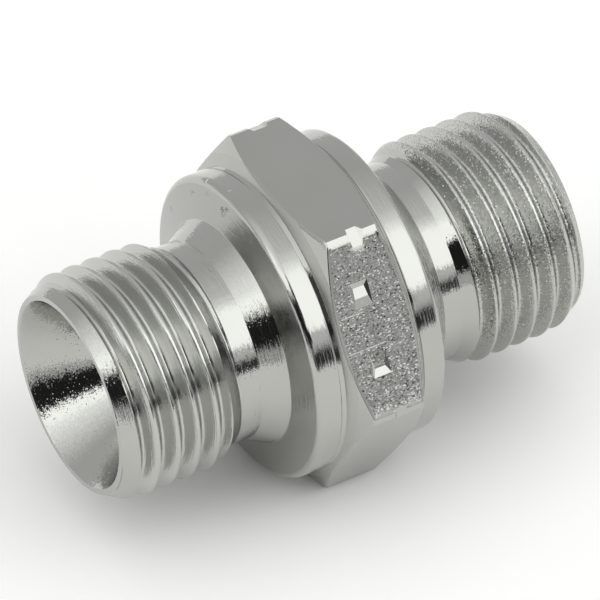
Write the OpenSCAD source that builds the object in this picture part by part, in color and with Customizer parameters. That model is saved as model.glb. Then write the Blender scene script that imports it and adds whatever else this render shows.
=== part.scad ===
// Straight hydraulic adapter, turned from one piece of steel. A hexagon sits in the middle between two round
// collars, and both ends are the same: an undercut neck, an outside thread and a conical seat round the bore.
// The bore runs along X, the origin is the middle of the hexagon, and one flat of the hexagon faces up.

/* [Overall] */
// Length from one end face to the other
overall_len = 35.6; // [34:0.2:60]

/* [Threaded ends] */
// Diameter over the crests of the M16 thread
thread_d = 15.85; // [14:0.05:18]
// Distance from one thread crest to the next, which sets the depth of the thread
thread_pitch = 1.5; // [1:0.25:2]
// Angle between the axis and the lead chamfer at each end
lead_a = 30; // [25:1:45]

/* [Undercut necks] */
// Length of the round neck between the collar and the thread, at its bottom
neck_w = 1.25; // [0.5:0.25:3]
// Angle between the axis and the slopes that lead down to the neck
neck_slope_a = 30; // [25:1:60]

/* [Collars] */
// Diameter of the two round collars
collar_d = 21.45; // [19.5:0.05:21.9]
// Width of the round part of each collar
collar_w = 1.7; // [1:0.1:4]
// Angle by which the front face of a collar leans back from square
collar_face_a = 12; // [0:1:20]
// Radius of the rounded front edge of a collar
collar_edge_r = 0.4; // [0.1:0.1:0.9]
// Distance between the turned end of the hexagon and the collar, at the bottom of the narrow groove
groove_w = 0.25; // [0.1:0.05:0.6]
// Depth of the narrow groove
groove_depth = 0.15; // [0.05:0.05:0.5]
// Angle between the axis and the slope that rises from the groove to the hexagon
groove_slope_a = 30; // [20:5:35]

/* [Hexagon] */
// Width across the flats
hex_af = 22; // [22:0.5:30]
// Length of a flat along its middle
hex_w = 5.45; // [4:0.25:12]
// Angle by which the turned ends of the hexagon lean back from square
hex_chamfer_a = 28; // [15:1:30]
// Amount turned off each sharp corner of the hexagon, along its radius
corner_trim = 0.12; // [0.02:0.02:0.3]

/* [Bore and seats] */
// Diameter of the bore
bore_d = 8; // [4:0.5:11]
// Full angle of the conical seat in each end
seat_a = 60; // [50:1:90]
// Width of the flat ring left round the mouth of each seat
end_land = 0.38; // [0.2:0.02:1]

/* [Notches in the corners] */
// Width of the floor of a notch
notch_w = 0.8; // [0.4:0.1:2]
// Depth of a notch below the turned corner
notch_depth = 0.18; // [0.06:0.02:0.4]
// Distance of the notches from the middle of the hexagon
notch_x = 0.15; // [-0.5:0.05:0.5]

/* [Dimples in one flat] */
// Width of a dimple along the bore
dimple_w = 1.15; // [0.6:0.05:2]
// Length of a dimple across the flat
dimple_h = 1.8; // [1:0.1:2.4]
// Depth of a dimple
dimple_depth = 0.25; // [0.1:0.05:0.5]
// Distance between the middles of the two dimples
dimple_gap = 4.85; // [3:0.05:6]
// Distance of the dimples from the middle of the hexagon
dimple_x = -0.4; // [-0.6:0.05:0.6]

/* [Hidden] */
// Height of a 60 degree metric thread as a share of its pitch
THREAD_SHARE = 0.6134;
// Steps in a rounded collar edge
EDGE_STEPS = 6;
// How far a cutting shape passes the surface that it opens
OVERCUT = 0.5;
// Half of the angle that one side of a hexagon takes up
HEX_HALF_A = 30;
// Slope of the side walls of the notches and dimples, from upright
SIDE_A = 45;
// Turn of each notched corner about the bore, from straight up towards the front
NOTCH_TURNS = [-30, 30, 90];
// Turn of the flat that has the dimples
DIMPLE_TURN = 60;
$fn = 96;

half_len = overall_len / 2;
thread_r = thread_d / 2;
root_r = thread_r - THREAD_SHARE * thread_pitch;
collar_r = collar_d / 2;
groove_r = collar_r - groove_depth;
flat_r = hex_af / 2;
sharp_r = flat_r / cos(HEX_HALF_A);
corner_r = sharp_r - corner_trim;
bore_r = bore_d / 2;
mouth_r = root_r - end_land;

// Places along the bore, measured from the middle of the hexagon towards either end
function chamfer_at(r) = hex_w / 2 + (flat_r - r) * tan(hex_chamfer_a);
collar_back = chamfer_at(groove_r) + groove_w;
collar_front = collar_back + collar_w;
face_foot = collar_front + (collar_r - thread_r) * tan(collar_face_a);
slope_len = (thread_r - root_r) / tan(neck_slope_a);

// Radius at which the slope beside the groove meets the turned end of the hexagon, kept inside the flats
slope_meet = (groove_r + (collar_back - chamfer_at(0)) * tan(groove_slope_a))
    / (1 - tan(hex_chamfer_a) * tan(groove_slope_a));
foot_r = min(slope_meet, flat_r - groove_depth / 2);
neck_start = face_foot + slope_len;
neck_end = neck_start + neck_w;
thread_start = neck_end + slope_len;
lead_start = half_len - (thread_r - root_r) / tan(lead_a);
seat_len = (mouth_r - bore_r) / tan(seat_a / 2);

// Points of the rounded collar edge, as radius and place, from the round part to the leaning front face
function edge_points() = [
    for (i = [0:EDGE_STEPS])
        let (turn = (90 - collar_face_a) * i / EDGE_STEPS)
        [collar_r - collar_edge_r * (1 - cos(turn)), edge_centre + collar_edge_r * sin(turn)]
];
edge_centre = collar_front - collar_edge_r * tan((90 - collar_face_a) / 2);

// One half of the turned outline, from the middle of the hexagon to the end face
half_outline = concat(
    [[groove_r, 0], [groove_r, collar_back], [collar_r, collar_back + groove_depth / 2]],
    edge_points(),
    [
        [thread_r, face_foot], [root_r, neck_start], [root_r, neck_end], [thread_r, thread_start],
        [thread_r, lead_start], [root_r, half_len], [0, half_len]
    ]
);

// Lays a shape that was turned about Z along the bore
module along_bore() {
    rotate([0, 90, 0]) children();
}

// Collars, necks and threaded ends in one turning, with each thread as a plain cylinder over its crests
module turned_blank() {
    mirrored = [for (i = [len(half_outline) - 1:-1:0]) [half_outline[i][0], -half_outline[i][1]]];
    along_bore() rotate_extrude() polygon(concat(mirrored, half_outline));
}

// Hexagon whose ends and corners are turned to a double cone, with a slope down to each groove
module hexagon() {
    upper = [
        [corner_r, chamfer_at(corner_r)], [foot_r, chamfer_at(foot_r)], [groove_r, collar_back], [0, collar_back]
    ];
    lower = [for (i = [len(upper) - 1:-1:0]) [upper[i][0], -upper[i][1]]];
    along_bore() intersection() {
        rotate(HEX_HALF_A) cylinder(r = sharp_r, h = 2 * collar_back, center = true, $fn = 6);
        rotate_extrude() polygon(concat(lower, upper));
    }
}

// Bore with a conical seat in both ends
module bore_and_seats() {
    passed_r = mouth_r + OVERCUT * tan(seat_a / 2);
    along_bore() {
        cylinder(r = bore_r, h = overall_len + 2 * OVERCUT, center = true);
        for (side = [0, 1]) mirror([0, 0, side]) translate([0, 0, half_len - seat_len])
            cylinder(r1 = bore_r, r2 = passed_r, h = seat_len + OVERCUT);
    }
}

// Trough with sloping sides, its floor at z = 0 and its length along Y
module trough(floor_w, top_z, length) {
    spread = top_z * tan(SIDE_A);
    side_view = [[-floor_w / 2, 0], [floor_w / 2, 0], [floor_w / 2 + spread, top_z], [-floor_w / 2 - spread, top_z]];
    rotate([90, 0, 0]) linear_extrude(height = length, center = true) polygon(side_view);
}

// Shallow notch across the middle of each marked corner
module corner_notches() {
    for (turn = NOTCH_TURNS) rotate([turn, 0, 0]) translate([notch_x, 0, corner_r - notch_depth])
        trough(notch_w, notch_depth + OVERCUT, flat_r);
}

// Two plain dimples in one flat, each a pit with four sloping walls
module flat_dimples() {
    floor_slack = 2 * dimple_depth * tan(SIDE_A);
    top_z = dimple_depth + OVERCUT;
    for (side = [-1, 1])
        rotate([DIMPLE_TURN, 0, 0]) translate([dimple_x, side * dimple_gap / 2, flat_r - dimple_depth])
            intersection() {
                trough(dimple_w - floor_slack, top_z, hex_af);
                rotate(90) trough(dimple_h - floor_slack, top_z, hex_af);
            }
}

// The whole adapter
module adapter_body() {
    color("silver") difference() {
        union() {
            turned_blank();
            hexagon();
        }
        bore_and_seats();
        corner_notches();
        flat_dimples();
    }
}

adapter_body();
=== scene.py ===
import math

import bmesh
import bpy
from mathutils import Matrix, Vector


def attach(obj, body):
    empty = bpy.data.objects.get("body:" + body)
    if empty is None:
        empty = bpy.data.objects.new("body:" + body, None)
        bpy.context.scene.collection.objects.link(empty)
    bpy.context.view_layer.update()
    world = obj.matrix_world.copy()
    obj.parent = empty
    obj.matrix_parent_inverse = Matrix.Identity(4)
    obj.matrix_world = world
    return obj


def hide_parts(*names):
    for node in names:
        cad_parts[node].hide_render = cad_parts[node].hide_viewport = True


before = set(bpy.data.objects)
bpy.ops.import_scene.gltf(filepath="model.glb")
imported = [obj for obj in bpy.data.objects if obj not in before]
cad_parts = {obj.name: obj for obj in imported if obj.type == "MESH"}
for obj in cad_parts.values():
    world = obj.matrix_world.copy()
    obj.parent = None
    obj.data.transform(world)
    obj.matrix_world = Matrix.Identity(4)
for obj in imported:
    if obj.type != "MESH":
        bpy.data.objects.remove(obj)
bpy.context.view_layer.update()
print("frame loaded")


# Small helpers

mathNode = "ShaderNodeMath"
vectorNode = "ShaderNodeVectorMath"
mixNode = "ShaderNodeMix"
rangeNode = "ShaderNodeMapRange"
noiseNode = "ShaderNodeTexNoise"


def toLinear(hexColour):
    # one place where sRGB hex turns into the linear colour that the nodes want
    parts = [int(hexColour[i:i + 2], 16) / 255 for i in (1, 3, 5)]
    return tuple(p / 12.92 if p <= 0.04045 else ((p + 0.055) / 1.055) ** 2.4 for p in parts) + (1.0,)


def addNode(tree, kind, settings=None, inputs=()):
    # settings are the node's properties, or just its operation. Inputs are values in the order of the sockets, or
    # a dictionary from a socket's name or number. For a node as a value, its first output is taken
    node = tree.nodes.new(kind)
    if isinstance(settings, str):
        settings = {"operation": settings}
    for name, value in (settings or {}).items():
        setattr(node, name, value)
    for name, value in (inputs if isinstance(inputs, dict) else dict(enumerate(inputs))).items():
        socket = node.inputs[name]
        if isinstance(value, bpy.types.Node):
            value = value.outputs[0]
        if isinstance(value, bpy.types.NodeSocket):
            tree.links.new(value, socket)
        else:
            socket.default_value = value
    return node


# Camera, at the photograph's viewing angle

cameraSizes = {
    "azimuth": -30.53,     # degrees round the object, 0 looks along +Y
    "elevation": 42.08,    # degrees above the floor
    "distance": 0.5555,    # m, like the next two
    "aside": -0.000123,    # the camera stands this far to the right of the line through the middle
    "above": 0.00021,
    "lens": 499.9,         # mm, like the sensor's width
    "sensor": 36,
    "nearest": 0.01, "farthest": 100,   # m, only what lies between them is drawn
}


def addCamera(sizes):
    turn, rise = math.radians(sizes["azimuth"]), math.radians(sizes["elevation"])
    back = Vector((math.sin(turn) * math.cos(rise), -math.cos(turn) * math.cos(rise), math.sin(rise)))
    right = Vector((0, 0, 1)).cross(back).normalized()
    up = back.cross(right)
    camera = bpy.data.objects.new("camera", bpy.data.cameras.new("camera"))
    camera.location = back * sizes["distance"] + right * sizes["aside"] + up * sizes["above"]
    camera.rotation_euler = back.to_track_quat("Z", "Y").to_euler()
    camera.data.lens = sizes["lens"]
    camera.data.sensor_width = sizes["sensor"]
    camera.data.clip_start = sizes["nearest"]
    camera.data.clip_end = sizes["farthest"]
    bpy.context.collection.objects.link(camera)
    bpy.context.scene.camera = camera


addCamera(cameraSizes)
print("camera placed")


# Sizes of the body

bodySizes = {  # mm and degrees: the CAD source's values, some of them fitted closer to the photo
    "length": 35.6, "threadRadius": 7.925, "rootRadius": 7.005, "pitch": 1.5,
    "crestWidth": 0.19, "flankAngle": 30, "runOutAngle": 30,
    "crestPlace": 0.292,    # where a crest passes +Y, which sets the turn of the thread
    "neckEnd": 8.670, "neckStart": 7.090, "faceFoot": 5.496,
    "collarFront": 4.901, "collarRadius": 10.725, "collarEdge": 0.5, "collarFaceAngle": 12,
    "grooveRadius": 10.62, "grooveEnd": 3.20, "grooveWall": 0.03, "chamferFoot": 2.880, "footRadius": 10.710,
    "right": {              # what is different on the right half
        "crestPlace": 0.690, "neckEnd": 8.34, "neckStart": 6.95, "collarFront": 4.74, "collarEdge": 0.40,
        "grooveRadius": 10.64, "grooveEnd": 3.02, "grooveWall": 0.075,
    },
    "flatRadius": 11.0, "cornerRadius": 12.581, "flatHalf": 2.725, "chamferAngle": 28, "edgeRound": 0.045,
    # blasted flat: the way it faces in degrees from +Y towards +Z, its plain edge, the wall down to it, its depth
    "panelTurn": 150, "panelInset": 0.10, "panelWall": 0.11, "panelDepth": 0.024,
    # bright strip over it: the way it faces, how far from the axis, and its foot in degrees from the corner
    "stripTurn": 142, "stripPlace": 11.713, "stripFoot": 1.99,
    "boreRadius": 4.0, "mouthRadius": 6.625, "seatAngle": 30,
    # broken edges of the mouth: distance from the end face and from the mouth's radius
    "mouthBreak": ((0.03, -0.017), (0.008, 0.003), (0.0, 0.03)),
    "columnsInFlat": 20, "columnsInCorner": 2,
    "nearSurface": 0.002,   # a point this close to a surface counts as lying on it
    "sharpAngle": 24,       # faces that meet at more than this have a sharp edge between them
}


def panelFrame(sizes):
    # the way the blasted flat faces, and the way down it
    turn = math.radians(sizes["panelTurn"])
    return Vector((0, math.cos(turn), math.sin(turn))), Vector((0, -math.sin(turn), math.cos(turn)))


# Materials

zincLook = {
    "light": "#B7B8B4",    # clean plating
    "dark": "#AFB0AB",     # slightly duller clouds in it
    "thread": "#BCBDB9",   # the threads are a little brighter, painted light that makes up for the light lost between their flanks
    "panel": "#A5A6A2",    # the blasted flat is duller
    "face": "#A6A7A3",     # the front faces of the collars are darker, painted shade for the shadowed floor below that they mirror
    "cloudSize": 5.0,      # mm
    "cloudDetail": 3.0,
    "ringSpacing": 0.12,   # mm, turning marks, drawn as coarse as they need to be to show
    "ringReach": 2.5,      # mm along the circumference before a mark fades
    "ringHeight": 0.016,   # mm
    "ringStart": 3.15,     # mm from the middle, the hexagon has no turning marks
    "ringMix": 1.3,        # share of the radius in the mix of length and radius that the marks follow
    "grainSize": 0.06,     # mm, crystals of the plating
    "farLean": 4,          # how steeply the lean grows towards the few crystals that lean far
    "roughness": 0.06,
    "lean": 0.02,          # how far a crystal leans, as a share of the way to 45 degrees
    # other zones: from and to along the bore and from its axis in mm, then roughness, lean and colour
    "zones": (
        (-5.6, -4.85, 7.95, 10.3, 0.18, 0.02, "face"),      # front faces of the collars
        (4.85, 5.6, 7.95, 10.3, 0.18, 0.02, "face"),
        (-2.90, -2.45, 10.7, 11.5, 0.30, 0.02, None),       # foot of the left chamfer
        (-8.67, -5.6, 6.9, 7.95, 0.06, 0.05, None),         # left neck
        (5.6, 9.60, 6.9, 7.95, 0.06, 0.04, None),           # right neck
        (-16.4, -8.67, 6.63, 8.0, 0.15, 0.05, "thread"),    # left thread
        (9.60, 17.9, 6.63, 8.0, 0.10, 0.30, "thread"),      # right thread, coarser
        (-17.9, 17.9, 0.0, 6.62, 0.09, 0.09, None),         # seats and bore, left coarse by the drill
        (-17.9, -16.4, 6.7, 8.0, 0.09, 0.07, None),         # left lead chamfer
    ),
    # small knocks: place on the body and reach in mm, and depth
    "knocks": (
        (-5.19, 8.32, 4.33, 0.30, 0.080), (-5.14, 5.53, 7.85, 0.30, 0.080), (-5.09, 3.70, 9.08, 0.28, 0.070),
        (-5.18, 1.38, 9.33, 0.42, 0.120), (-5.05, 1.00, 9.75, 0.30, 0.080), (-4.80, 4.38, 9.71, 0.26, 0.080),
        (-4.47, 1.92, 10.55, 0.22, 0.040), (-1.71, 2.46, 11.0, 0.12, 0.015), (0.0, 4.62, 11.0, 0.12, 0.015),
    ),
    "knockRaggedness": 0.35,           # mm
    "panelGrain": 0.07,                # mm, blasted flat
    "panelStretch": (0.55, 1.0, 1.0),  # its grains are longer along the bore
    "panelLean": (0.12, 0.24),         # at its upper and lower edge
    "panelReach": 5.0,                 # mm from its middle to where those two hold
    "panelBias": (0, 0, 0.45),         # the grains that lean far prefer to face up
    "panelRoughness": 0.3, "sparkleRoughness": 0.1,
    "sparkleSpread": (0.2, 0.42),      # spread up to which a grain is dull, and from which it sparkles
    # scratches on that flat: place down it, from and to along the bore, in mm
    "scratches": ((1.30, -2.5, 0.4), (-1.16, -2.3, -0.6), (2.19, -1.2, -0.7)),
    "scratchWidth": 0.05, "scratchDepth": 0.012,
    # painted shade along the edges of the blasted flat, darkest in the corner under its wall
    "paintedEdgeShade": "#4A4B47",
    "paintedEdgeShadeReach": (0.04, 0.128),        # mm from the edge of that flat, full up to the first and gone at the second
    "paintedEdgeShadePatches": 3.0,                # patches in the painted shade, in a mm
}


# 1 between two places in mm, and 0 outside
def addBetween(tree, value, low, high):
    above = addNode(tree, mathNode, "GREATER_THAN", (value, low / 1000))
    return addNode(tree, mathNode, "MULTIPLY", (above, addNode(tree, mathNode, "LESS_THAN", (value, high / 1000))))


# Distance from the bore's axis
def addRadius(tree, y, z):
    squares = [addNode(tree, mathNode, "MULTIPLY", (part, part)) for part in (y, z)]
    return addNode(tree, mathNode, "SQRT", (addNode(tree, mathNode, "ADD", squares),))


# Leans the surface in a random direction in every crystal, most of them hardly and a few far, so that
# reflections break up into grains at their ends. The bias is a direction that the far ones prefer. Also gives
# how far each crystal leans
def leanCrystals(tree, place, size, lean, farLean, bias=(0, 0, 0)):
    cells = addNode(tree, "ShaderNodeTexVoronoi", None, {"Vector": place, "Scale": 1000 / size}).outputs["Color"]
    offset = addNode(tree, vectorNode, "SUBTRACT", (cells, (0.5, 0.5, 0.5)))
    spread = addNode(tree, vectorNode, "DOT_PRODUCT", (offset, offset)).outputs["Value"]
    preferred = addNode(tree, vectorNode, "SCALE", {0: bias, "Scale": spread})
    offset = addNode(tree, vectorNode, "ADD", (offset, preferred))
    reach = addNode(tree, mathNode, "MULTIPLY", (spread, addNode(tree, mathNode, "MULTIPLY", (lean, farLean))))
    offset = addNode(tree, vectorNode, "SCALE", {0: offset, "Scale": reach})
    facing = addNode(tree, "ShaderNodeNewGeometry").outputs["Normal"]
    leaning = addNode(tree, vectorNode, "ADD", (offset, facing))
    return addNode(tree, vectorNode, "NORMALIZE", (leaning,)), spread


# Zinc-plated steel, turned and then plated: a mid-grey metal mirror with a warm cast, whose reflections
# end in fine grain and comb lines, and with a few small knocks in it.
def makeTurnedZinc(look):
    material = bpy.data.materials.new("zinc_plated_steel")
    material.use_nodes = True
    tree = material.node_tree
    tree.nodes.clear()
    place = addNode(tree, "ShaderNodeTexCoord").outputs["Object"]
    x, y, z = addNode(tree, "ShaderNodeSeparateXYZ", None, (place,)).outputs
    radius = addRadius(tree, y, z)
    # the marks follow the turned outline: a mix of length and radius that changes along every face
    fromMiddle = addNode(tree, mathNode, "ABSOLUTE", (x,))
    radiusPart = addNode(tree, mathNode, "MULTIPLY", (radius, look["ringMix"]))
    outline = addNode(tree, mathNode, "SUBTRACT", (fromMiddle, radiusPart))
    ringScale = (1000 / look["ringSpacing"], 1000 / look["ringReach"], 1000 / look["ringReach"])
    outlinePlace = addNode(tree, "ShaderNodeCombineXYZ", None, (outline, y, z))
    ringPlace = addNode(tree, vectorNode, "MULTIPLY", (outlinePlace, ringScale))
    rings = addNode(tree, noiseNode, None, {"Vector": ringPlace, "Scale": 1.0})
    clouds = addNode(tree, noiseNode, None, {
        "Vector": place, "Scale": 1000 / look["cloudSize"], "Detail": look["cloudDetail"]})

    colour = addNode(tree, mixNode, {"data_type": "RGBA"}, {
        0: clouds, 6: toLinear(look["light"]), 7: toLinear(look["dark"])}).outputs[2]
    roughness, lean = look["roughness"], look["lean"]
    for left, right, low, high, zoneRoughness, zoneLean, zoneColour in look["zones"]:
        inZone = addNode(tree, mathNode, "MULTIPLY", (
            addBetween(tree, x, left, right), addBetween(tree, radius, low, high)))
        roughness = addNode(tree, mixNode, None, {0: inZone, 2: roughness, 3: zoneRoughness})
        lean = addNode(tree, mixNode, None, {0: inZone, 2: lean, 3: zoneLean})
        # zones with a colour of their own: the threads get a lighter copy of the plating, painted light, and the
        # collar faces a darker one, painted shade
        if zoneColour:
            colour = addNode(tree, mixNode, {"data_type": "RGBA"}, {
                0: inZone, 6: colour, 7: toLinear(look[zoneColour])}).outputs[2]

    ragged = addNode(tree, noiseNode, None, {
        "Vector": place, "Scale": 1000 / look["knockRaggedness"]}).outputs["Color"]
    ragged = addNode(tree, vectorNode, "SUBTRACT", (ragged, (0.5, 0.5, 0.5)))
    ragged = addNode(tree, vectorNode, "SCALE", {0: ragged, "Scale": look["knockRaggedness"] / 1000})
    knockPlace = addNode(tree, vectorNode, "ADD", (place, ragged))
    knocks = 0.0
    for knockX, knockY, knockZ, reach, depth in look["knocks"]:
        middle = (knockX / 1000, knockY / 1000, knockZ / 1000)
        away = addNode(tree, vectorNode, "DISTANCE", (knockPlace, middle)).outputs["Value"]
        knock = addNode(tree, rangeNode, {"interpolation_type": "SMOOTHSTEP"}, {
            "Value": away, "From Max": reach / 1000, "To Min": depth, "To Max": 0.0})
        knocks = addNode(tree, mathNode, "SUBTRACT", (knocks, knock))

    crystals, _ = leanCrystals(tree, place, look["grainSize"], lean, look["farLean"])
    turned = addNode(tree, mathNode, "GREATER_THAN", (fromMiddle, look["ringStart"] / 1000))
    ringBump = addNode(tree, "ShaderNodeBump", None, {
        "Strength": turned, "Distance": look["ringHeight"] / 1000, "Height": rings, "Normal": crystals})
    knockBump = addNode(tree, "ShaderNodeBump", None, {
        "Strength": 1.0, "Distance": 0.001, "Height": knocks, "Normal": ringBump})
    shader = addNode(tree, "ShaderNodeBsdfPrincipled", None, {
        "Base Color": colour, "Metallic": 1.0, "Roughness": roughness, "Normal": knockBump})
    addNode(tree, "ShaderNodeOutputMaterial", None, (shader,))
    return material


# The same plating over a blasted flat: a dull grey with small bright sparkles, which are a little longer
# along the bar, a few fine scratches, and painted shade in the corner round it.
def makeBlastedZinc(look, sizes):
    material = bpy.data.materials.new("blasted_zinc_plated_steel")
    material.use_nodes = True
    tree = material.node_tree
    tree.nodes.clear()
    place = addNode(tree, "ShaderNodeTexCoord").outputs["Object"]
    stretched = addNode(tree, "ShaderNodeMapping", None, {"Vector": place, "Scale": look["panelStretch"]})
    x, y, z = addNode(tree, "ShaderNodeSeparateXYZ", None, (place,)).outputs
    _, downwards = panelFrame(sizes)
    down = addNode(tree, vectorNode, "DOT_PRODUCT", (place, downwards)).outputs["Value"]
    lean = addNode(tree, rangeNode, None, {
        "Value": down, "From Min": -look["panelReach"] / 1000, "From Max": look["panelReach"] / 1000,
        "To Min": look["panelLean"][0], "To Max": look["panelLean"][1]})
    crystals, spread = leanCrystals(tree, stretched, look["panelGrain"], lean, look["farLean"], look["panelBias"])

    # distance to the nearest edge of the flat, along which shade is painted
    corner = math.acos(sizes["flatRadius"] / sizes["cornerRadius"])
    top = sizes["flatRadius"] * math.tan(math.radians(30 - sizes["stripFoot"])) / 1000
    bottom = (sizes["flatRadius"] * math.tan(corner) - sizes["panelInset"]) / 1000
    pastFlat = addNode(tree, mathNode, "SUBTRACT", (addRadius(tree, y, z), sizes["flatRadius"] / 1000))
    chamferTangent = math.tan(math.radians(sizes["chamferAngle"]))
    arc = addNode(tree, mathNode, "SUBTRACT", (
        (sizes["flatHalf"] - sizes["panelInset"] / 2) / 1000,
        addNode(tree, mathNode, "MULTIPLY", (chamferTangent, pastFlat))))
    toSide = addNode(tree, mathNode, "SUBTRACT", (arc, addNode(tree, mathNode, "ABSOLUTE", (x,))))
    # the painted shade is lighter along the arcs, so they count as further away
    toSide = addNode(tree, mathNode, "ADD", (toSide, look["paintedEdgeShadeReach"][0] / 1000))
    toEnds = addNode(tree, mathNode, "MINIMUM", (
        addNode(tree, mathNode, "ADD", (down, top)), addNode(tree, mathNode, "SUBTRACT", (bottom, down))))
    toEdge = addNode(tree, mathNode, "MINIMUM", (toSide, toEnds))
    # painted shade: darker towards the flat's edges, in patches
    paintedEdgeShade = addNode(tree, rangeNode, None, {
        "Value": toEdge, "From Min": look["paintedEdgeShadeReach"][0] / 1000, "From Max": look["paintedEdgeShadeReach"][1] / 1000,
        "To Min": 1.0, "To Max": 0.0})
    patchy = addNode(tree, noiseNode, None, {"Vector": place, "Scale": 1000 * look["paintedEdgeShadePatches"]})
    paintedEdgeShade = addNode(tree, mathNode, "MULTIPLY", (paintedEdgeShade, patchy))
    colour = addNode(tree, mixNode, {"data_type": "RGBA"}, {
        0: paintedEdgeShade, 6: toLinear(look["panel"]), 7: toLinear(look["paintedEdgeShade"])}).outputs[2]

    cuts = 0.0
    for scratchPlace, left, right in look["scratches"]:
        away = addNode(tree, mathNode, "SUBTRACT", (down, scratchPlace / 1000))
        cut = addNode(tree, rangeNode, None, {
            "Value": addNode(tree, mathNode, "ABSOLUTE", (away,)), "From Max": look["scratchWidth"] / 1000,
            "To Min": look["scratchDepth"], "To Max": 0.0})
        cut = addNode(tree, mathNode, "MULTIPLY", (cut, addBetween(tree, x, left, right)))
        cuts = addNode(tree, mathNode, "SUBTRACT", (cuts, cut))
    scratchBump = addNode(tree, "ShaderNodeBump", None, {
        "Strength": 1.0, "Distance": 0.001, "Height": cuts, "Normal": crystals})
    roughness = addNode(tree, rangeNode, None, {
        "Value": spread, "From Min": look["sparkleSpread"][0], "From Max": look["sparkleSpread"][1],
        "To Min": look["panelRoughness"], "To Max": look["sparkleRoughness"]})
    shader = addNode(tree, "ShaderNodeBsdfPrincipled", None, {
        "Base Color": colour, "Metallic": 1.0, "Roughness": roughness, "Normal": scratchBump})
    addNode(tree, "ShaderNodeOutputMaterial", None, (shader,))
    return material


turnedZinc = makeTurnedZinc(zincLook)
blastedZinc = makeBlastedZinc(zincLook, bodySizes)
print("materials made")


# Adapter body: one turned outline swept round X, with the threads and the hexagon as rules on its rows

# Places in one pitch where a row of points runs along the thread, closest together at its edges
def threadRows(sizes):
    crest, half = sizes["crestWidth"] / 2, sizes["pitch"] / 2
    depth = sizes["threadRadius"] - sizes["rootRadius"]
    flankLength = depth * math.tan(math.radians(sizes["flankAngle"]))
    crestCorner = ((0.5, 0.0), (0.8, 0.006), (1.0, 0.022), (1.35, 0.075))   # share of the half crest, drop in mm
    flankShares = (0.16, 0.28, 0.42, 0.56, 0.68)
    curveStart, curveShares = 0.78, (0, 0.22, 0.42, 0.6, 0.8)
    side = [(0, sizes["threadRadius"])]
    side += [(crest * share, sizes["threadRadius"] - drop) for share, drop in crestCorner]
    side += [(crest + flankLength * share, sizes["threadRadius"] - depth * share) for share in flankShares]
    # round root: a curve from the flank to the middle of the groove, drawn towards their sharp corner
    foot = (crest + flankLength * curveStart, sizes["threadRadius"] - depth * curveStart)
    corner, middle = (crest + flankLength, sizes["rootRadius"]), (half, sizes["rootRadius"])
    for q in curveShares:
        side.append(tuple(foot[k] * (1 - q) ** 2 + 2 * corner[k] * q * (1 - q) + middle[k] * q * q for k in (0, 1)))
    side.append(middle)
    mirrored = [(sizes["pitch"] - place, radius) for place, radius in reversed(side[1:-1])]
    return side + mirrored


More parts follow.
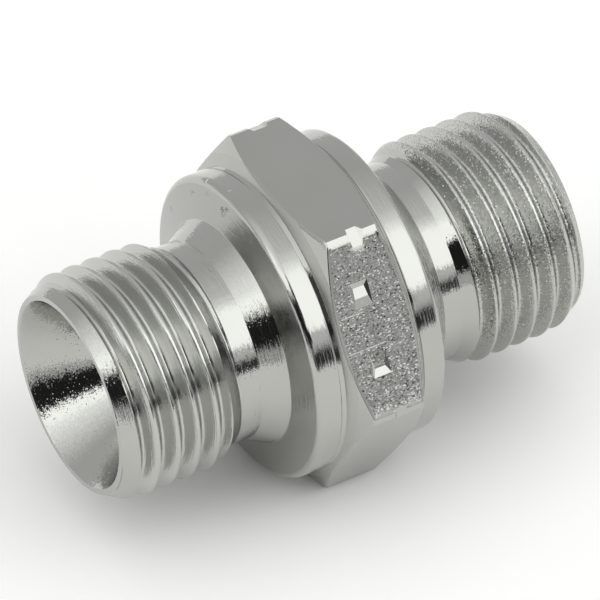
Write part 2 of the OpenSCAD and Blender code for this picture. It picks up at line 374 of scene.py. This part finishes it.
# Rows of one half from the bore's middle to the hexagon's middle. Each row holds its place along X, its radius,
# whether it follows the thread, and for the hexagon its share of the flat and its share of the chamfer
def halfRows(sizes, sign):
    s = {**sizes, **sizes["right"]} if sign > 0 else sizes
    end = s["length"] / 2
    seatLength = (s["mouthRadius"] - s["boreRadius"]) / math.tan(math.radians(s["seatAngle"]))
    rows = []

    def plain(place, radius):
        rows.append((sign * place, radius, 0, 0, 0))

    for share in (0, 0.5, 1):
        plain((end - seatLength) * share, s["boreRadius"])
    for share in (0.01, 0.15, 0.3, 0.45, 0.6, 0.75, 0.9):
        plain(end - seatLength * (1 - share), s["boreRadius"] + (s["mouthRadius"] - s["boreRadius"]) * share)
    # mouth and end face, with the sharp edges just broken
    for back, outwards in s["mouthBreak"]:
        plain(end - back, s["mouthRadius"] + outwards)
    plain(end, s["rootRadius"] - s["mouthBreak"][-1][1])
    # thread rows, from the end face back to the neck; the tree clamps them between those two
    threadStart, threadStop = (end, s["neckEnd"] - s["pitch"]) if sign > 0 else (-end - s["pitch"], -s["neckEnd"])
    low, high = min(threadStart, threadStop), max(threadStart, threadStop)
    apart = 1e-4   # mm, the least distance between a thread row and the first or last one
    turns = []
    first, last = (math.floor((edge - s["crestPlace"]) / s["pitch"]) for edge in (low, high))
    for k in range(first - 1, last + 2):
        for place, radius in threadRows(s):
            x = s["crestPlace"] + k * s["pitch"] + place
            if low + apart < x < high - apart:
                turns.append((x, radius, 1, 0, 0))
    turns.sort(reverse=sign > 0)
    rows.append((threadStart, s["rootRadius"], 1, 0, 0))
    rows.extend(turns)
    rows.append((threadStop, s["rootRadius"], 1, 0, 0))
    # neck, slope, leaning front face and rounded edge of the collar
    for share in (0.75, 0.5, 0.25):
        plain(s["neckStart"] + (s["neckEnd"] - s["neckStart"]) * share, s["rootRadius"])
    bendLength, bendRise = 0.12, 0.004   # mm, a short bend between the neck and its slope
    for away in (bendLength, bendLength / 3, 0.0):
        plain(s["neckStart"] + away, s["rootRadius"] + bendRise * (1 - away / bendLength))
    slopeTangent = (s["threadRadius"] - s["rootRadius"]) / (s["neckStart"] - s["faceFoot"])
    for share in (0.03, 0.1, 0.35, 0.65, 0.9, 0.96):
        place = s["neckStart"] + (s["faceFoot"] - s["neckStart"]) * share
        plain(place, s["rootRadius"] + (s["neckStart"] - place) * slopeTangent)
    plain(s["faceFoot"] + 0.01, s["threadRadius"] + 0.008)
    faceLean = math.radians(s["collarFaceAngle"])
    edgeMiddle = s["collarFront"] - s["collarEdge"] * math.tan((math.pi / 2 - faceLean) / 2)
    edgeFoot = (edgeMiddle + s["collarEdge"] * math.cos(faceLean),
                s["collarRadius"] - s["collarEdge"] * (1 - math.sin(faceLean)))
    for share in (0.025, 0.07, 0.25, 0.5, 0.75, 0.93, 0.985):
        plain(s["faceFoot"] + (edgeFoot[0] - s["faceFoot"]) * share,
              s["threadRadius"] + (edgeFoot[1] - s["threadRadius"]) * share)
    steps = 8
    for i in range(steps + 1):
        turn = (math.pi / 2 - faceLean) * (1 - i / steps)
        drop = s["collarEdge"] * (1 - math.cos(turn))
        plain(edgeMiddle + s["collarEdge"] * math.sin(turn), s["collarRadius"] - drop)
    back = s["grooveEnd"] + s["grooveWall"]
    for share in (0.12, 0.5, 0.88):
        plain(edgeMiddle + (back - edgeMiddle) * share, s["collarRadius"])
    # narrow groove: its rounded edge, its wall as shares of width and depth, and its slope up to the hexagon
    grooveDepth = s["collarRadius"] - s["grooveRadius"]
    plain(back + 0.03, s["collarRadius"])
    for share, drop in ((1, 0.08), (0.75, 0.3), (0.2, 0.8)):
        plain(s["grooveEnd"] + s["grooveWall"] * share, s["collarRadius"] - grooveDepth * drop)
    plain(s["grooveEnd"] - 0.02, s["grooveRadius"])
    for share in (0.2, 0.5, 0.85):
        plain(s["grooveEnd"] + (s["chamferFoot"] - s["grooveEnd"]) * share,
              s["grooveRadius"] + (s["footRadius"] - s["grooveRadius"]) * share)
    # hexagon: chamfer, rounded arc edge, wall of the blasted flat, and flat
    lean = math.radians(s["chamferAngle"])
    edge = s["edgeRound"]
    for share in (1, 0.8, 0.5, 0.2):
        rows.append((sign * edge * math.sin(lean) * (1 - share), edge * math.cos(lean) * (1 - share), 0, sign, share))
    for q in (1, 0.75, 0.5, 0.25, 0):
        rows.append((sign * (edge * q * q * math.sin(lean) - edge * (1 - q) ** 2),
                     edge * q * q * math.cos(lean), 0, sign, 0))
    for inset in (s["panelInset"], s["panelInset"] + s["panelWall"]):
        rows.append((-sign * inset, 0, 0, sign, 0))
    for share in (0.85, 0.6, 0.3):
        rows.append((0, 0, 0, sign * share, 0))
    return rows


# Angles of the columns round X, from +Y towards +Z, closest together at the hexagon's corners and at the foot of
# the bright strip
def columnAngles(sizes):
    corner = 30 - math.degrees(math.acos(sizes["flatRadius"] / sizes["cornerRadius"]))
    inset, wall = (math.degrees(sizes[size] / sizes["cornerRadius"]) for size in ("panelInset", "panelWall"))
    inCorner, inFlat = sizes["columnsInCorner"], sizes["columnsInFlat"]
    angles = []
    for start in range(0, 360, 60):
        foot = start + sizes["stripFoot"]
        near, far = foot + 3 * wall, start + 60 - corner - inset - wall
        angles += [start + corner * i / inCorner for i in range(inCorner)]
        angles += [start + corner, start + corner + inset, foot, foot + 0.4 * wall]
        angles += [near + (far - near) * i / inFlat for i in range(inFlat + 1)]
        angles += [start + 60 - corner - inset]
        angles += [start + 60 - corner + corner * i / inCorner for i in range(inCorner)]
    return angles + [360]


def tableObject(name, points, hexPlaces=None):
    # a mesh of loose points, whose places and attribute the tree looks up by number
    mesh = bpy.data.meshes.new(name)
    mesh.from_pydata(points, [], [])
    if hexPlaces:
        attribute = mesh.attributes.new("hexPlace", "FLOAT_VECTOR", "POINT")
        attribute.data.foreach_set("vector", [value for row in hexPlaces for value in row])
    table = bpy.data.objects.new(name, mesh)
    bpy.context.collection.objects.link(table)
    return table


# Formulas of the sweep, one node in each line: the name of its result, its operation and its values. A word is
# one of the tree's inputs or an earlier result
countFormulas = (
    ("safeIndex", "ADD", "index", 0.5),
    ("rowShare", "DIVIDE", "safeIndex", "Column count"),
    ("rowNumber", "FLOOR", "rowShare"),
    ("earlier", "MULTIPLY", "rowNumber", "Column count"),
    ("columnNumber", "SUBTRACT", "index", "earlier"),
)
shapeFormulas = (
    ("turn", "MULTIPLY", "turnShare", 2 * math.pi),
    # thread rows advance by one pitch in a turn, and stop at the neck and at the end face
    ("side", "SIGN", "rowPlace"),
    ("sideAndOne", "ADD", "side", 1.0),
    ("onRight", "MULTIPLY", 0.5, "sideAndOne"),
    ("onLeft", "SUBTRACT", 1.0, "onRight"),
    ("rightEnd", "MULTIPLY", "Right inner end", "onRight"),
    ("leftEnd", "MULTIPLY", "Left inner end", "onLeft"),
    ("innerEnd", "ADD", "rightEnd", "leftEnd"),
    ("bothEnds", "ADD", "innerEnd", "Thread outer end"),
    ("middleAway", "MULTIPLY", 0.5, "bothEnds"),
    ("middle", "MULTIPLY", "side", "middleAway"),
    ("threadLength", "SUBTRACT", "Thread outer end", "innerEnd"),
    ("reach", "MULTIPLY", 0.5, "threadLength"),
    ("highest", "ADD", "middle", "reach"),
    ("lowest", "SUBTRACT", "middle", "reach"),
    ("advance", "MULTIPLY", "Pitch", "turnShare"),
    ("advanced", "ADD", "rowPlace", "advance"),
    ("notPast", "MINIMUM", "advanced", "highest"),
    ("threadPlace", "MAXIMUM", "notPast", "lowest"),
    # and they fade out towards both stops
    ("away", "ABSOLUTE", "threadPlace"),
    ("fromNeck", "SUBTRACT", "away", "innerEnd"),
    ("neckRise", "MULTIPLY", "Run-out slope", "fromNeck"),
    ("neckLimit", "ADD", "Root radius", "neckRise"),
    ("fromEnd", "SUBTRACT", "Thread outer end", "away"),
    ("endRise", "MULTIPLY", "Run-out slope", "fromEnd"),
    ("endLimit", "ADD", "Root radius", "endRise"),
    ("limit", "MINIMUM", "neckLimit", "endLimit"),
    ("threadRadius", "MINIMUM", "rowRadius", "limit"),
    # hexagon rows follow the arc that the chamfer leaves on each flat
    ("inSector", "FLOORED_MODULO", "turn", math.pi / 3),
    ("local", "SUBTRACT", "inSector", math.pi / 6),
    ("localCosine", "COSINE", "local"),
    ("sharpRadius", "DIVIDE", "Flat radius", "localCosine"),
    ("outlineRadius", "MINIMUM", "sharpRadius", "Corner radius"),
    ("pastFlat", "SUBTRACT", "outlineRadius", "Flat radius"),
    ("chamferLength", "MULTIPLY", "Chamfer slope", "pastFlat"),
    ("arc", "SUBTRACT", "Flat half length", "chamferLength"),
    ("flatPart", "SUBTRACT", 1.0, "chamferShare"),
    ("facing", "SIGN", "flatShare"),
    ("footPlace", "MULTIPLY", "facing", "Chamfer foot"),
    ("foot", "MULTIPLY", "footPlace", "chamferShare"),
    ("arcPlace", "MULTIPLY", "arc", "flatShare"),
    ("onArc", "MULTIPLY", "arcPlace", "flatPart"),
    ("onChamfer", "ADD", "onArc", "foot"),
    ("hexPlace", "ADD", "onChamfer", "rowPlace"),
    ("arcRadius", "MULTIPLY", "outlineRadius", "flatPart"),
    ("footPart", "MULTIPLY", "Foot radius", "chamferShare"),
    ("chamferRadius", "ADD", "arcRadius", "footPart"),
    ("hexRadius", "SUBTRACT", "chamferRadius", "rowRadius"),
)
pointFormulas = (
    ("turnCosine", "COSINE", "turn"),
    ("y", "MULTIPLY", "radius", "turnCosine"),
    ("turnSine", "SINE", "turn"),
    ("z", "MULTIPLY", "radius", "turnSine"),
)
sweepInputs = {
    "Rows": "Object", "Columns": "Object", "Row count": "Int", "Column count": "Int", "Pitch": "Float",
    "Root radius": "Float", "Left inner end": "Float", "Right inner end": "Float", "Thread outer end": "Float",
    "Run-out slope": "Float", "Flat radius": "Float", "Corner radius": "Float", "Flat half length": "Float",
    "Chamfer slope": "Float", "Chamfer foot": "Float", "Foot radius": "Float", "Material": "Material",
}


def makeSweepTree():
    tree = bpy.data.node_groups.new("threadedBody", "GeometryNodeTree")
    for way in ("INPUT", "OUTPUT"):
        tree.interface.new_socket("Geometry", in_out=way, socket_type="NodeSocketGeometry")
    identifiers = {}
    for name, kind in sweepInputs.items():
        socket = tree.interface.new_socket(name, in_out="INPUT", socket_type="NodeSocket" + kind)
        identifiers[name] = socket.identifier
    given = addNode(tree, "NodeGroupInput").outputs
    values = {name: given[name] for name in sweepInputs}
    values["index"] = addNode(tree, "GeometryNodeInputIndex")

    def work(formulas):
        for name, operation, *parts in formulas:
            values[name] = addNode(tree, mathNode, operation, [values.get(part, part) for part in parts])

    def lookUp(table, number, field, names):
        info = addNode(tree, "GeometryNodeObjectInfo", None, (given[table],))
        found = addNode(tree, "GeometryNodeSampleIndex", {"data_type": "FLOAT_VECTOR"}, {
            "Geometry": info.outputs["Geometry"], "Value": field, "Index": values[number]})
        values.update(zip(names, addNode(tree, "ShaderNodeSeparateXYZ", None, (found,)).outputs))

    grid = addNode(tree, "GeometryNodeMeshGrid", None, {
        "Vertices X": given["Row count"], "Vertices Y": given["Column count"]})
    work(countFormulas)
    position = addNode(tree, "GeometryNodeInputPosition")
    hexField = addNode(tree, "GeometryNodeInputNamedAttribute", {"data_type": "FLOAT_VECTOR"}, ("hexPlace",))
    lookUp("Rows", "rowNumber", position, ("rowPlace", "rowRadius", "onThread"))
    lookUp("Rows", "rowNumber", hexField, ("onHex", "flatShare", "chamferShare"))
    lookUp("Columns", "columnNumber", position, ("turnShare",))   # 0 to 1 round the axis
    work(shapeFormulas)
    isThread, isHex = (addNode(tree, "FunctionNodeCompare", {"data_type": "FLOAT", "operation": "GREATER_THAN"}, (
        values[name], 0.5)) for name in ("onThread", "onHex"))
    for name, plain, threaded, hexagonal in (("place", "rowPlace", "threadPlace", "hexPlace"),
                                             ("radius", "rowRadius", "threadRadius", "hexRadius")):
        turned = addNode(tree, "GeometryNodeSwitch", {"input_type": "FLOAT"}, {
            "Switch": isThread, "False": values[plain], "True": values[threaded]})
        values[name] = addNode(tree, "GeometryNodeSwitch", {"input_type": "FLOAT"}, {
            "Switch": isHex, "False": turned, "True": values[hexagonal]})
    work(pointFormulas)
    point = addNode(tree, "ShaderNodeCombineXYZ", None, (values["place"], values["y"], values["z"]))
    metres = addNode(tree, vectorNode, "SCALE", {0: point, "Scale": 0.001})
    moved = addNode(tree, "GeometryNodeSetPosition", None, {"Geometry": grid, "Position": metres})
    merged = addNode(tree, "GeometryNodeMergeByDistance", None, {"Geometry": moved, "Distance": 1e-6})
    real = addNode(tree, "GeometryNodeRealizeInstances", None, (merged,))
    painted = addNode(tree, "GeometryNodeSetMaterial", None, {"Geometry": real, "Material": given["Material"]})
    addNode(tree, "NodeGroupOutput", None, (painted,))
    return tree, identifiers


def makeTurnedBody(sizes, material):
    s = sizes
    right, left = halfRows(s, 1), halfRows(s, -1)
    rows = right + [(0, 0, 0, 1e-6, 0)] + left[:0:-1] + [right[0]]
    rowTable = tableObject("rowTable", [row[:3] for row in rows],
                           [(1 if abs(row[3]) > 0 else 0, row[3], row[4]) for row in rows])
    angles = columnAngles(s)
    columnTable = tableObject("columnTable", [(angle / 360, 0, 0) for angle in angles])
    tree, identifiers = makeSweepTree()
    holder = bpy.data.objects.new("sweep", bpy.data.meshes.new("sweep"))
    bpy.context.collection.objects.link(holder)
    modifier = holder.modifiers.new("sweep", "NODES")
    modifier.node_group = tree
    values = {
        "Rows": rowTable, "Columns": columnTable, "Row count": len(rows), "Column count": len(angles),
        "Pitch": s["pitch"], "Root radius": s["rootRadius"],
        "Left inner end": s["neckEnd"], "Right inner end": s["right"]["neckEnd"],
        "Thread outer end": s["length"] / 2, "Run-out slope": math.tan(math.radians(s["runOutAngle"])),
        "Flat radius": s["flatRadius"], "Corner radius": s["cornerRadius"], "Flat half length": s["flatHalf"],
        "Chamfer slope": math.tan(math.radians(s["chamferAngle"])),
        "Chamfer foot": s["chamferFoot"], "Foot radius": s["footRadius"], "Material": material,
    }
    for name, value in values.items():
        modifier[identifiers[name]] = value
    depsgraph = bpy.context.evaluated_depsgraph_get()
    mesh = bpy.data.meshes.new_from_object(holder.evaluated_get(depsgraph), depsgraph=depsgraph)
    for helper in (holder, rowTable, columnTable):
        bpy.data.objects.remove(helper)
    body = bpy.data.objects.new("adapter", mesh)
    bpy.context.collection.objects.link(body)
    return body


body = makeTurnedBody(bodySizes, turnedZinc)
print("body swept:", len(body.data.vertices), "points,", len(body.data.polygons), "faces")


# Blasted flat, dimples and corner notches

markSizes = {  # mm, from the middle of the hexagon
    # dimples: left and right end along X, width of the side walls, then the outline down the flat as (place, depth)
    "dimples": (
        (-1.12, 0.24, 0.26, ((-3.18, 0.0), (-2.80, 0.145), (-2.08, 0.047), (-1.45, 0.0))),
        (-1.07, 0.24, 0.27, ((1.58, 0.0), (2.42, 0.06), (2.72, 0.13), (2.84, 0.14), (3.40, 0.0))),
    ),
    "wallPower": 0.3,    # below 1 the side walls of a dimple stay wide where it gets shallow
    # notches: the way the floor faces from +Y towards +Z, ends of the floor along X, depth below the corner's
    # circle, and how far the left and the right wall lean out, as a share of their height
    "notches": (
        (60, -0.29, 0.70, 0.17, 1.1, 1.1),
        (128.4, -0.13, 0.60, 0.376, 0.5, 0.93),
        (180, -0.12, 0.47, 0.15, 1.1, 1.1),
    ),
    "notchReach": 2.6,   # half of the length of the cutting shape, more than the notch needs
    "above": 0.3,        # how far the cutting shapes stand above the surface
    "onFloor": 0.004,    # a face this close to the floor of the flat belongs to it
    "deepest": 0.4,      # no dimple is deeper below the floor than this
    "cornerGap": 1,      # degrees between a hexagon's corner and the nearest dimple, at least
    "wallFacing": 0.2, "blastedFacing": 0.96,   # cosines: steeper faces aren't the dimple's, or aren't blasted
}


# The blasted flat lies a little lower than its edges, which fall away along a narrow wall
def sinkPanel(body, sizes):
    outwards, downwards = panelFrame(sizes)
    corner = math.acos(sizes["flatRadius"] / sizes["cornerRadius"])
    slope = math.tan(math.radians(sizes["chamferAngle"]))
    limit = sizes["panelInset"] + sizes["panelWall"] / 2
    highest = -math.radians(30 - sizes["stripFoot"]) + 0.1 * sizes["panelWall"] / sizes["cornerRadius"]
    lowest = corner - limit / sizes["cornerRadius"]
    for vertex in body.data.vertices:
        point = vertex.co * 1000
        if abs(point.dot(outwards) - sizes["flatRadius"]) > sizes["nearSurface"]:
            continue
        angle = math.atan2(point.dot(downwards), point.dot(outwards))
        arc = sizes["flatHalf"] - (math.hypot(point.y, point.z) - sizes["flatRadius"]) * slope
        if highest < angle < lowest and abs(point.x) < arc - limit:
            vertex.co = (point - outwards * sizes["panelDepth"]) / 1000
    # strip along its upper edge, which leans up a little
    panelTurn, stripTurn = math.radians(sizes["panelTurn"]), math.radians(sizes["stripTurn"])
    reach = math.radians(sizes["stripFoot"] + 0.05)
    for vertex in body.data.vertices:
        point = vertex.co * 1000
        angle, radius = math.atan2(point.z, point.y), math.hypot(point.y, point.z)
        fromCorner = angle - panelTurn + math.pi / 6
        onFlat = sizes["flatRadius"] / math.cos(math.pi / 6 - abs(fromCorner))
        onHexagon = abs(radius - min(onFlat, sizes["cornerRadius"])) < sizes["nearSurface"]
        if abs(fromCorner) < reach and onHexagon:
            wanted = min(onFlat, sizes["stripPlace"] / math.cos(angle - stripTurn))
            vertex.co = Vector((point.x, point.y * wanted / radius, point.z * wanted / radius)) / 1000


# Closed cutting shapes: a row of points down one side, the same down the other, and faces between them
def makeCutters(marks, sizes):
    mesh = bmesh.new()

    def addPrism(leftPoints, rightPoints):
        left = [mesh.verts.new(point / 1000) for point in leftPoints]
        right = [mesh.verts.new(point / 1000) for point in rightPoints]
        mesh.faces.new(left)
        mesh.faces.new(right)
        for i in range(len(left)):
            mesh.faces.new((left[i - 1], left[i], right[i], right[i - 1]))

    outwards, downwards = panelFrame(sizes)
    surface = sizes["flatRadius"] - sizes["panelDepth"]
    above = marks["above"]
    for low, high, wall, outline in marks["dimples"]:
        deepest = max(depth for _, depth in outline)
        spread = wall * above / deepest
        leftPoints, rightPoints = [], []
        for place, depth in outline:
            inset = wall * (depth / deepest) ** marks["wallPower"]
            leftPoints.append(Vector((low + inset, 0, 0)) + downwards * place + outwards * (surface - depth))
            rightPoints.append(Vector((high - inset, 0, 0)) + downwards * place + outwards * (surface - depth))
        for place in (outline[-1][0], outline[0][0]):
            leftPoints.append(Vector((low - spread, 0, 0)) + downwards * place + outwards * (surface + above))
            rightPoints.append(Vector((high + spread, 0, 0)) + downwards * place + outwards * (surface + above))
        addPrism(leftPoints, rightPoints)
    for angle, low, high, depth, leftLean, rightLean in marks["notches"]:
        turn = math.radians(angle)
        out = Vector((0, math.cos(turn), math.sin(turn)))
        side = Vector((0, -math.sin(turn), math.cos(turn))) * marks["notchReach"]
        lift = depth + above
        trough = [Vector((x, 0, 0)) + out * (sizes["cornerRadius"] - depth + rise) for x, rise in (
            (low, 0), (high, 0), (high + rightLean * lift, lift), (low - leftLean * lift, lift))]
        addPrism([point - side for point in trough], [point + side for point in trough])
    bmesh.ops.recalc_face_normals(mesh, faces=mesh.faces)
    data = bpy.data.meshes.new("cutters")
    mesh.to_mesh(data)
    mesh.free()
    cutters = bpy.data.objects.new("cutters", data)
    bpy.context.collection.objects.link(cutters)
    return cutters


def cutMarks(body, marks, sizes):
    cutters = makeCutters(marks, sizes)
    modifier = body.modifiers.new("cut", "BOOLEAN")
    modifier.operation = "DIFFERENCE"
    modifier.solver = "EXACT"
    modifier.object = cutters
    depsgraph = bpy.context.evaluated_depsgraph_get()
    mesh = bpy.data.meshes.new_from_object(body.evaluated_get(depsgraph), depsgraph=depsgraph)
    body.modifiers.clear()
    body.data = mesh
    bpy.data.objects.remove(cutters)


# Gives the blasted finish to the flat and to the dimples' gentle upper walls, and keeps the dimples' faces flat
def paintPanel(mesh, marks, sizes, slotNumber):
    outwards, downwards = panelFrame(sizes)
    floor = sizes["flatRadius"] - sizes["panelDepth"]
    widest = sizes["flatRadius"] * math.tan(math.radians(30 - marks["cornerGap"])) - sizes["panelInset"]
    for face in mesh.polygons:
        middle, facing = face.center * 1000, face.normal.dot(outwards)
        depth = floor - middle.dot(outwards)
        if facing > 0.999 and abs(depth) < marks["onFloor"]:
            face.material_index = slotNumber
        inside = abs(middle.x) < sizes["flatHalf"] and abs(middle.dot(downwards)) < widest
        if inside and sizes["nearSurface"] < depth < marks["deepest"] and facing > marks["wallFacing"]:
            face.use_smooth = False
            if face.normal.dot(downwards) > 0.01 and facing > marks["blastedFacing"]:
                face.material_index = slotNumber


sinkPanel(body, bodySizes)
cutMarks(body, markSizes, bodySizes)
body.data.materials.clear()
body.data.materials.append(turnedZinc)
body.data.materials.append(blastedZinc)
body.data.shade_smooth()
body.data.set_sharp_from_angle(angle=math.radians(bodySizes["sharpAngle"]))
paintPanel(body.data, markSizes, bodySizes, 1)   # slot 1 is the blasted zinc
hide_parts("adapter_body")
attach(body, "root")
print("marks cut:", len(body.data.polygons), "faces")


# Floor and studio light

studioSizes = {   # directions are degrees: azimuth from the front towards the right, and elevation
    "floorHeight": -0.01102,   # m, just under the lower flat
    "floorReach": 12.0,
    "floorFront": 0.23,        # the paper ends in front of the part, where metal would show its edge
    "floorColour": "#F4F4F2",
    "floorGlow": 0.15,         # added for the camera and in reflections, so that the floor is white round the shadow
    "shadowReach": 0.012,
    "shadowSamples": 8,
    "ambient": 0.67,
    # softboxes: azimuth and elevation of the middle, then strength at distances from it
    "lamps": (
        (30, 42, ((0, 1.95), (21, 1.9), (28.6, 1.4), (37.6, 0.98), (44, 0.84), (53, 0.75), (75, 0.67))),
        (-50, 43, ((0, 1.95), (13, 1.95), (18, 1.65), (22, 1.52), (28, 1.4), (35, 1.25), (42, 1.12), (50, 0.97),
                   (58, 0.8), (68, 0.67))),
        (0, 90, ((0, 1.15), (12, 1.1), (26, 0.8), (40, 0.67))),
    ),
    # edges of the softboxes, dark places and a bright one: left, right, low, high, softness, strength
    "patches": (
        (-104, -72, 3, 42, 5.0, 1.85),
        (-66, -15, -20, 37, 1.2, 0.67),
        (-15, 80, -20, 23.2, 1.7, 0.86),
        (-15, 80, -20, 13.5, 3.0, 0.60),
        (-44, -6, 10, 63, 4.0, 0.08),
        (-62, -30, 10.5, 38, 1.5, 0.02),
        (-78, -58, 8, 27, 3.0, 0.03),
        (-95, -56, -4, 14, 3.0, 0.03),
        (-34, 13, 17.5, 28, 2.0, 0.03),
        (-27, 29, -1.4, 9.8, 2.6, 0.05),
        (72, 98, -20, 30, 5.0, 0.82),
    ),
}


def makeFloor(sizes):
    material = bpy.data.materials.new("pale_paper")  # matt paper, white to the eye, that keeps the soft shadow
    material.use_nodes = True
    tree = material.node_tree
    tree.nodes.clear()
    rays = addNode(tree, "ShaderNodeLightPath").outputs
    mirrored = addNode(tree, mathNode, "MAXIMUM", (rays["Is Glossy Ray"], rays["Is Transmission Ray"]))
    seen = addNode(tree, mathNode, "MAXIMUM", (rays["Is Camera Ray"], mirrored))
    paper = addNode(tree, "ShaderNodeBsdfDiffuse", None, {"Color": toLinear(sizes["floorColour"])})
    openness = addNode(tree, "ShaderNodeAmbientOcclusion", {"samples": sizes["shadowSamples"]}, {
        "Distance": sizes["shadowReach"]}).outputs["AO"]
    strength = addNode(tree, mathNode, "MULTIPLY", (seen, sizes["floorGlow"]))
    strength = addNode(tree, mathNode, "MULTIPLY", (strength, openness))
    glow = addNode(tree, "ShaderNodeEmission", None, {"Strength": strength})
    both = addNode(tree, "ShaderNodeAddShader", None, (paper, glow))
    addNode(tree, "ShaderNodeOutputMaterial", None, (both,))
    mesh = bpy.data.meshes.new("floor")
    reach, front, height = sizes["floorReach"], sizes["floorFront"], sizes["floorHeight"]
    corners = [(-reach, -front, height), (reach, -front, height), (reach, reach, height), (-reach, reach, height)]
    mesh.from_pydata(corners, [], [(0, 1, 2, 3)])
    mesh.materials.append(material)
    floor = bpy.data.objects.new("floor", mesh)
    bpy.context.collection.objects.link(floor)


def makeStudio(sizes):
    world = bpy.data.worlds.new("studio")
    bpy.context.scene.world = world
    world.use_nodes = True
    tree = world.node_tree
    tree.nodes.clear()
    direction = addNode(tree, "ShaderNodeTexCoord").outputs["Generated"]
    x, y, z = addNode(tree, "ShaderNodeSeparateXYZ", None, (direction,)).outputs
    degrees = 180 / math.pi
    forwards = addNode(tree, mathNode, "MULTIPLY", (y, -1))
    azimuth = addNode(tree, mathNode, "MULTIPLY", (addNode(tree, mathNode, "ARCTAN2", (x, forwards)), degrees))
    elevation = addNode(tree, mathNode, "MULTIPLY", (addNode(tree, mathNode, "ARCSINE", (z,)), degrees))

    level = sizes["ambient"]
    for middle, height, fall in sizes["lamps"]:
        turn, rise = math.radians(middle), math.radians(height)
        aim = (math.sin(turn) * math.cos(rise), -math.cos(turn) * math.cos(rise), math.sin(rise))
        cosine = addNode(tree, vectorNode, "DOT_PRODUCT", (direction, aim)).outputs["Value"]
        away = addNode(tree, mathNode, "MULTIPLY", (
            addNode(tree, mathNode, "ARCCOSINE", (cosine,)), degrees / 180))
        ramp = addNode(tree, "ShaderNodeValToRGB", None, (away,))
        points = ramp.color_ramp.elements
        while len(points) < len(fall):
            points.new(0.5)
        top = max(strength for _, strength in fall)
        for point, (angle, strength) in zip(points, fall):
            point.position = angle / 180
            point.color = (strength / top,) * 3 + (1,)
        lamp = addNode(tree, mathNode, "MULTIPLY", (ramp, top))
        level = addNode(tree, mathNode, "MAXIMUM", (level, lamp))
    for left, right, low, high, soft, strength in sizes["patches"]:
        # each edge fades from nothing to all of the patch, twice as wide as its softness
        edges = []
        for value, edge, outside in ((elevation, low, 0.0), (elevation, high, 1.0),
                                     (azimuth, left, 0.0), (azimuth, right, 1.0)):
            edges.append(addNode(tree, rangeNode, {"interpolation_type": "SMOOTHSTEP"}, {
                "Value": value, "From Min": edge - soft, "From Max": edge + soft,
                "To Min": outside, "To Max": 1 - outside}))
        inHeight = addNode(tree, mathNode, "MULTIPLY", edges[:2])
        inside = addNode(tree, mathNode, "MULTIPLY", (inHeight, addNode(tree, mathNode, "MULTIPLY", edges[2:])))
        level = addNode(tree, mixNode, None, {0: inside, 2: level, 3: strength})
    light = addNode(tree, "ShaderNodeBackground", None, {"Color": (1, 1, 1, 1), "Strength": level})
    addNode(tree, "ShaderNodeOutputWorld", None, (light,))


makeFloor(studioSizes)
makeStudio(studioSizes)
bpy.context.scene.view_settings.view_transform = "Standard"
print("studio lit")
